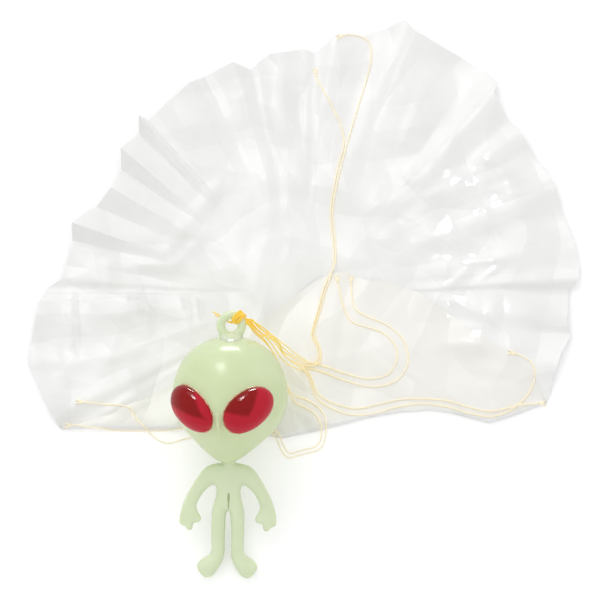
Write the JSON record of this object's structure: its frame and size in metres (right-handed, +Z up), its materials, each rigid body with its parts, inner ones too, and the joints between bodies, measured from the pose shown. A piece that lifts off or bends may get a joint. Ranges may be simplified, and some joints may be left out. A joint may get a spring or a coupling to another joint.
{
  "type": "toy parachute",
  "caption": "Toy parachute laid out flat: moulded green figure with domed red eyes and a hanging ring, tied by thin thread lines to a pleated film canopy.",
  "frame": {"origin": "middle of the laid out toy's footprint, at the surface that it lies on, under the flat middle of the canopy", "axes": "+Z up from the surface, the shortest way through the toy; +Y from the figure's feet to the canopy's far rim, the longest way; +X to the figure's left"},
  "size_m": [0.1338, 0.1416, 0.0289],
  "materials": {
    "film": "thin white film",
    "thread": "spun yarn",
    "green_plastic": "satin, slightly milky",
    "red_eye": "clear, polished"
  },
  "bodies": {
    "canopy": {"canopy_film": "film", "line_1": "thread", "line_2": "thread", "line_3": "thread", "line_4": "thread", "line_5": "thread", "line_6": "thread", "line_7": "thread", "line_8": "thread", "rim_knot_1": "thread", "rim_knot_2": "thread", "rim_knot_3": "thread", "rim_knot_4": "thread", "rim_knot_5": "thread", "rim_knot_6": "thread", "rim_knot_7": "thread", "rim_knot_8": "thread"},
    "head": {"ring_knot": "thread", "hanging_ring": "green_plastic", "head_front": "green_plastic", "head_back": "green_plastic", "eye_left": "red_eye", "eye_right": "red_eye"},
    "torso": {"figure_body": "green_plastic"}
  },
  "joints": [
    {"name": "figure_swing", "type": "hinge", "parent": "canopy", "child": "head", "pos_m": [-0.01545, -0.01335, 0.02108], "axis": [-1, 0, 0], "range_deg": [0, 90]},
    {"name": "head_turn", "type": "hinge", "parent": "head", "child": "torso", "pos_m": [-0.0177, -0.0451, 0.00979], "axis": [0.0174, 0.942, 0.335], "range_deg": [-35, 35]}
  ]
}
